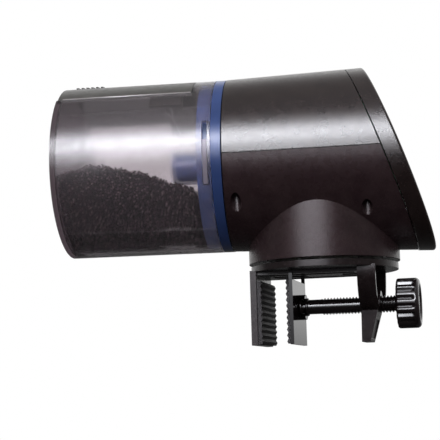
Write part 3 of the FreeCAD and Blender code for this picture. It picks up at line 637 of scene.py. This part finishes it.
def seam_bead():
    """Fine round bead, half sunk, along the joint of the two shells on both sides."""
    for side, name in ((-1, "seam_bead_front"), (1, "seam_bead_back")):
        rings = []
        for x in np.linspace(*SEAM_X, SEAM_STATIONS):
            reach = BODY_R + BODY_FLARE * (x - BODY_LEFT) - SEAM_BEAD * SEAM_SUNK
            y = side * math.sqrt(reach ** 2 - (AXIS_Z - SEAM_Z) ** 2)
            rings.append(tube_ring(x, y, SEAM_Z, SEAM_BEAD, SEAM_SIDES))
        piece(name, *rings_to_mesh(rings), "housing", "housing_black")


def hatch_rails():
    """Rounded rails along the two long edges of the sliding hatch, coloured pale as a painted highlight along
    those edges.
    """
    angle = HATCH_HALF - RAIL_INSET
    reach = DRUM_R - RAIL_DEPTH
    tip, tip_radius = RAIL_TIP
    left, right = HATCH_X
    stations = ((left, tip_radius), (left + tip, RAIL_R), (right - tip, RAIL_R), (right, tip_radius))
    for side, name in ((-1, "hatch_rail_front"), (1, "hatch_rail_back")):
        y = side * reach * math.sin(angle)
        z = AXIS_Z + reach * math.cos(angle)
        rings = [tube_ring(x, y, z, radius, RAIL_SIDES) for x, radius in stations]
        piece(name, *rings_to_mesh(rings), "hatch_body", "hatch_black", RAIL_PAINTED_HIGHLIGHT)


def heap_top(x):
    """Height of the heap's lumpy top above the drum axis."""
    lumps = HEAP_LUMPS * (math.sin(0.9 * x) * 0.5 + math.sin(0.37 * x + 1.0) * 0.5)
    smooth = float(np.interp(x, [p[0] for p in HEAP_TOP], [p[1] for p in HEAP_TOP]))
    return smooth + lumps - HEAP_LUMPS * 0.4


def heap_radius(x):
    return HEAP_R_AT_PORT if PORT_FRAME_X[0] < x < PORT_FRAME_X[1] else HEAP_R


def scattered(rng, reach=GRANULE_SCATTER):
    return rng.uniform(-reach, reach)


def wall_spots(rng, x):
    """A row of granules round the drum wall at x."""
    radius = heap_radius(x) - GRANULE_R
    reach = math.acos(min(1.0, -heap_top(x) / radius))
    step = GRANULE_STEP / radius
    spots = []
    for a in np.arange(-reach, reach, step):
        r = radius - abs(rng.normal(0, GRANULE_DEPTH))
        t = a + rng.uniform(-0.35, 0.35) * step
        spots.append((x + scattered(rng), r * math.sin(t), -r * math.cos(t)))
    return spots


def top_spots(rng, x):
    """A row of granules across the heap's top at x."""
    top = heap_top(x)
    half = math.sqrt((heap_radius(x) - GRANULE_R) ** 2 - top ** 2)
    spots = []
    for y in np.arange(-half, half, GRANULE_STEP):
        z = top + rng.uniform(*GRANULE_LIFT)
        spots.append((x + scattered(rng), y + scattered(rng), z))
    return spots


def end_spots(rng, x):
    """Granules over an end of the heap."""
    radius = HEAP_R - GRANULE_R
    spots = []
    for y in np.arange(-radius, radius, GRANULE_STEP):
        low = -math.sqrt(radius ** 2 - y ** 2)
        for z in np.arange(low, heap_top(x), GRANULE_STEP):
            spots.append((x, y + scattered(rng, END_SCATTER), z + scattered(rng, END_SCATTER)))
    return spots


def granule_spots(rng):
    """Places for granules over the heap's skin: round the wall, on top and at both ends."""
    x0 = HEAP_TOP[0][0]
    x1 = HEAP_TOP[-1][0]
    spots = []
    for x in np.arange(x0 + 0.6, x1 - 0.4, GRANULE_STEP):
        spots += wall_spots(rng, x)
        spots += top_spots(rng, x)
    for x in (x0 + END_INSET, x1 - END_INSET):
        spots += end_spots(rng, x)
    return kept_inside(np.array(spots))


def kept_inside(spots):
    """Moves granules that stick out of the heap back to its skin."""
    x = spots[:, 0]
    reach = np.hypot(spots[:, 1], spots[:, 2])
    at_port = (x > PORT_FRAME_X[0]) & (x < PORT_FRAME_X[1])
    limit = np.where(at_port, HEAP_R_AT_PORT, HEAP_R) - GRANULE_R
    spots[:, 1:] *= np.minimum(1.0, limit / np.maximum(reach, 1e-6))[:, None]
    spots[:, 0] = np.clip(x, HEAP_TOP[0][0] + GRANULE_SCATTER, HEAP_TOP[-1][0] - GRANULE_SCATTER)
    return spots


def heap_core():
    """The mass under the granules, which food() colours in the darkest tone as painted shade between them."""
    rings = []
    radius = HEAP_R_AT_PORT - CORE_DEPTH
    for x in np.linspace(HEAP_TOP[0][0] + CORE_INSET, HEAP_TOP[-1][0] - CORE_INSET, CORE_STATIONS):
        top = heap_top(x) - CORE_SINK
        reach = math.acos(min(1.0, -top / radius))
        ring = []
        for a in np.linspace(-reach, reach, CORE_SIDES):
            ring.append((x, radius * math.sin(a), AXIS_Z - radius * math.cos(a)))
        rings.append(ring)
    return rings_to_mesh(rings)


def random_turns(rng, count):
    """Rotation matrices spread evenly over all directions."""
    spin = rng.normal(size=(count, 4))
    spin /= np.linalg.norm(spin, axis=1, keepdims=True)
    w, a, b, c = spin.T
    return np.stack([
        1 - 2 * (b * b + c * c), 2 * (a * b - c * w), 2 * (a * c + b * w),
        2 * (a * b + c * w), 1 - 2 * (a * a + c * c), 2 * (b * c - a * w),
        2 * (a * c - b * w), 2 * (b * c + a * w), 1 - 2 * (a * a + b * b),
    ], axis=1).reshape(count, 3, 3)


def unit_granule():
    """Corners and triangles of a ball of radius 1."""
    ball = bmesh.new()
    bmesh.ops.create_icosphere(ball, subdivisions=1, radius=1.0)
    corners = np.array([v.co[:] for v in ball.verts])
    triangles = np.array([[v.index for v in f.verts] for f in ball.faces])
    ball.free()
    return corners, triangles


def food():
    """Loose granules over a dark core, all in one piece."""
    rng = np.random.RandomState(SEED)
    spots = granule_spots(rng)
    count = len(spots)
    corners, triangles = unit_granule()
    core, core_faces = heap_core()
    sizes = rng.uniform(*GRANULE_SIZE, (count, 1)) * GRANULE_R
    sizes = sizes * rng.uniform(GRANULE_FLATTEST, 1.0, (count, 3))
    turns = random_turns(rng, count)
    shapes = np.einsum("nij,nkj->nki", turns, corners[None] * sizes[:, None, :])
    shapes += spots[:, None, :] + np.array((0, 0, AXIS_Z))
    points = np.concatenate([np.array(core), shapes.reshape(-1, 3)])
    first = len(core) + np.arange(count)[:, None, None] * len(corners)
    faces = core_faces + (triangles[None] + first).reshape(-1, 3).tolist()
    made = piece("food_granules", points.tolist(), faces, "contents", "food")
    # The core gets tone 0, the darkest colour, as painted shade between the granules; the granules' own tones
    # differ at random
    tone = np.concatenate([np.zeros(len(core)), np.repeat(rng.beta(1.6, 1.8, count), len(corners))])
    attribute = made.data.attributes.new("tone", "FLOAT", "POINT")
    attribute.data.foreach_set("value", tone)
    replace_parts(made, "food_pellets")


def on_panel(x, y, z):
    """A point of the control panel's own frame, in the row frame."""
    return (PANEL_X + x * math.cos(PANEL_TURN) + z * math.sin(PANEL_TURN), y,
            AXIS_Z - x * math.sin(PANEL_TURN) + z * math.cos(PANEL_TURN))


def display_digits():
    """Digits of a clock on the display, as thin raised segments under the lens."""
    points = []
    faces = []
    for digit, middle in DIGIT_PLACES:
        for letter in DIGITS[digit]:
            across, up, flat = SEGMENTS[letter]
            half = SEGMENT_HALF if flat else SEGMENT_HALF[::-1]
            add_bar(points, faces, middle + across * DIGIT_SIZE, up * DIGIT_SIZE, half)
    for up in (-COLON_UP, COLON_UP):
        add_bar(points, faces, 0.0, up, COLON_HALF)
    piece("display_digits", points, faces, "housing", "lcd_grey", INK, smooth=False)


def add_bar(points, faces, across, up, half):
    """A six-cornered bar lying on the display's face."""
    w, h = half
    if w > h:
        outline = [(-w, 0), (-w + h, -h), (w - h, -h), (w, 0), (w - h, h), (-w + h, h)]
    elif h > w:
        outline = [(0, -h), (w, -h + w), (w, h - w), (0, h), (-w, h - w), (-w, -h + w)]
    else:
        outline = [(w * math.cos(math.pi * i / 3), h * math.sin(math.pi * i / 3)) for i in range(6)]
    start = len(points)
    for z in INK_Z:
        points += [on_panel(LCD_X - up - v, across + u, z) for u, v in outline]
    faces.append(tuple(start + i for i in range(6)))
    faces.append(tuple(start + 6 + i for i in range(6))[::-1])
    for i in range(6):
        n = (i + 1) % 6
        faces.append((start + n, start + i, start + 6 + i, start + 6 + n))


# ---------------------------------------------------------------- studio

AIM = Vector((-41.69, 0.0, 24.17)) * MM
AZIMUTH = math.radians(7.573)
ELEVATION = math.radians(-7.664)
ROLL = math.radians(-1.588)
DISTANCE = 484.85 * MM
LENS_MM = 97.45
FLOOR_Z = -260.0 * MM
FLOOR_R = 1.5
FLOOR_SIDES = 96
FLOOR_GREYS = ((0.80, 0.80, 0.80), (0.84, 0.84, 0.84))
SENSOR_MM = 36.0

KEY_COLOR = (19.6, 20.0, 21.2)     # soft-box in front
KEY_AZIMUTH = math.radians(-15)    # its middle, from the front towards +X
KEY_FADES_IN = math.radians(27)    # angle from its middle
KEY_FULL = math.radians(13)
BACKDROP_Y = 0.6                   # the y of a direction from which on the backdrop takes over

# Brightness by the height of a direction, as (height from -1 to 1, brightness) pairs
KEY_PROFILE = (
    (-0.30, 0.002), (0.02, 0.04), (0.10, 0.20), (0.14, 0.38), (0.24, 0.42), (0.36, 0.85), (0.45, 1.6),
    (0.54, 1.25), (0.64, 0.34), (0.74, 0.05), (0.90, 0.03), (1.0, 0.03),
)
BACK_PROFILE = ((-1.0, 0.02), (-0.14, 0.08), (0.0, 0.25), (0.07, 1.0), (0.7, 1.0), (0.8, 0.6), (1.0, 0.3))
SIDE_PROFILE = ((-1.0, 0.02), (-0.25, 0.04), (0.0, 0.15), (0.3, 0.30), (0.8, 0.5), (1.0, 0.45))
AMBIENT_PROFILE = ((-1.0, 0.0), (-0.35, 0.06), (0.0, 0.42), (0.4, 0.9), (1.0, 1.0))


def camera():
    """Camera that looks at AIM from below its height, a little from the right, and rolled."""
    cos_e = math.cos(ELEVATION)
    back = Vector((math.sin(AZIMUTH) * cos_e, -math.cos(AZIMUTH) * cos_e, math.sin(ELEVATION)))
    right = Vector((math.cos(AZIMUTH), math.sin(AZIMUTH), 0.0))
    up = back.cross(right)
    rolled_right = right * math.cos(ROLL) + up * math.sin(ROLL)
    rolled_up = up * math.cos(ROLL) - right * math.sin(ROLL)
    data = bpy.data.cameras.new("camera")
    data.lens = LENS_MM
    data.sensor_width = SENSOR_MM
    data.clip_start = 0.01
    made = bpy.data.objects.new("camera", data)
    axes = Matrix((rolled_right, rolled_up, back)).transposed()
    made.matrix_world = Matrix.Translation(AIM + back * DISTANCE) @ axes.to_4x4()
    bpy.context.scene.collection.objects.link(made)
    bpy.context.scene.camera = made


def profile(s, height, pairs):
    """Grey level by the height of a direction."""
    fraction = s.ranged(height, 0.0, 1.0, -1.0, 1.0)
    return s.ramp(fraction, [((z + 1) / 2, (level, level, level)) for z, level in pairs])


def studio_light():
    """A white backdrop, soft light from above and all round, and a soft-box in front for glossy surfaces."""
    world = bpy.data.worlds.new("studio")
    bpy.context.scene.world = world
    world.use_nodes = True
    s = Nodes(world.node_tree)
    direction = s.nodes.new("ShaderNodeTexCoord").outputs["Generated"]
    parts = s.nodes.new("ShaderNodeSeparateXYZ")
    s.link(direction, parts.inputs["Vector"])
    height = parts.outputs["Z"]
    level = s.maths("ShaderNodeVectorMath", "MULTIPLY", direction, (1.0, 1.0, 0.0))
    azimuth = s.maths("ShaderNodeVectorMath", "NORMALIZE", level.outputs["Vector"])
    front = (math.sin(KEY_AZIMUTH), -math.cos(KEY_AZIMUTH), 0.0)
    nearness = s.maths("ShaderNodeVectorMath", "DOT_PRODUCT", azimuth.outputs["Vector"], front)
    edges = (math.cos(KEY_FADES_IN), math.cos(KEY_FULL))
    in_key = s.ranged(nearness.outputs["Value"], 0.0, 1.0, *edges, smooth=True)
    key = s.maths("ShaderNodeVectorMath", "MULTIPLY", profile(s, height, KEY_PROFILE), KEY_COLOR)
    behind = s.ranged(parts.outputs["Y"], 0.0, 1.0, 0.0, BACKDROP_Y, smooth=True)
    around = s.blended(behind, profile(s, height, SIDE_PROFILE), profile(s, height, BACK_PROFILE))
    mirrored = s.blended(in_key, around, key.outputs["Vector"])
    rays = s.nodes.new("ShaderNodeLightPath")
    seen = s.blended(rays.outputs["Is Glossy Ray"], WHITE, mirrored)
    seen = s.blended(rays.outputs["Is Diffuse Ray"], seen, profile(s, height, AMBIENT_PROFILE))
    background = s.nodes.new("ShaderNodeBackground")
    s.link(seen, background.inputs["Color"])
    out = s.nodes.new("ShaderNodeOutputWorld")
    s.link(background.outputs[0], out.inputs["Surface"])


def floor():
    """A pale round table top."""
    rim = []
    for k in range(FLOOR_SIDES):
        a = 2 * math.pi * k / FLOOR_SIDES
        rim.append((math.cos(a), math.sin(a), 0))
    faces = [(0, k + 1, (k + 1) % FLOOR_SIDES + 1) for k in range(FLOOR_SIDES)]
    mesh = bpy.data.meshes.new("floor")
    mesh.from_pydata([(0, 0, 0)] + rim, [], faces)
    s = Shader("floor")
    shader = s.principled(specular=0.2)
    shader.inputs["Roughness"].default_value = 0.7
    s.link(s.mottled(200.0, 3.0, *FLOOR_GREYS), shader.inputs["Base Color"])
    mesh.materials.append(s.finish(shader))
    made = bpy.data.objects.new("floor", mesh)
    made.location = (0, 0, FLOOR_Z)
    made.scale = (FLOOR_R, FLOOR_R, 1)
    made.visible_glossy = False
    made.visible_diffuse = False
    bpy.context.scene.collection.objects.link(made)


# ---------------------------------------------------------------- making

bpy.context.scene.view_settings.view_transform = "Standard"
camera()
studio_light()
floor()
dress_cad_nodes()
clamp_screw()
clamp_knob()
seam_bead()
hatch_rails()
food()
display_digits()
